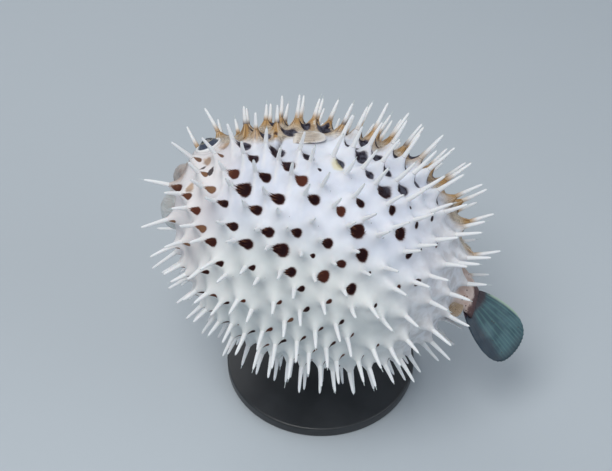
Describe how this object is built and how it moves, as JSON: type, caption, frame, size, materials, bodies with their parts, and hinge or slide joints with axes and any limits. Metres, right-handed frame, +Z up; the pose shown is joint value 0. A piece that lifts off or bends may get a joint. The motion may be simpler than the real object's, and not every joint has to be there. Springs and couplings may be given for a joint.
{
  "type": "porcupine pufferfish museum model",
  "caption": "Life-size museum model of a blown-up porcupine pufferfish, banked on its side with all its spines raised, held above a flat round base by one rod.",
  "frame": {"origin": "centre of the stand base's underside, on the floor, below the middle of the blown-up body", "axes": "+Z up; the nose points toward -X and a little toward +Y, the left flank is up, and the belly faces -Y"},
  "size_m": [0.3059, 0.2382, 0.2725],
  "materials": {
    "skin": "wet satin skin, white with dark brown spots, tan on the back",
    "spine": "satin bone-white spines in thin skin sheaths",
    "lip": "smooth wet skin",
    "beak": "satin tooth plate",
    "eye": "polished",
    "fin": "thin wet rayed membrane",
    "stand_base": "satin black",
    "stand_rod": "brushed"
  },
  "bodies": {
    "root": {"head": "skin", "trunk": "skin", "tail_stalk": "skin", "upper_lip": "lip", "lower_lip": "lip", "upper_beak": "beak", "lower_beak": "beak", "eye_left": "eye", "eye_right": "eye", "pectoral_fin_left": "fin", "pectoral_fin_right": "fin", "dorsal_fin": "fin", "anal_fin": "fin", "caudal_fin": "fin", "stand_base": "stand_base", "stand_rod": "stand_rod"}
  },
  "joints": []
}
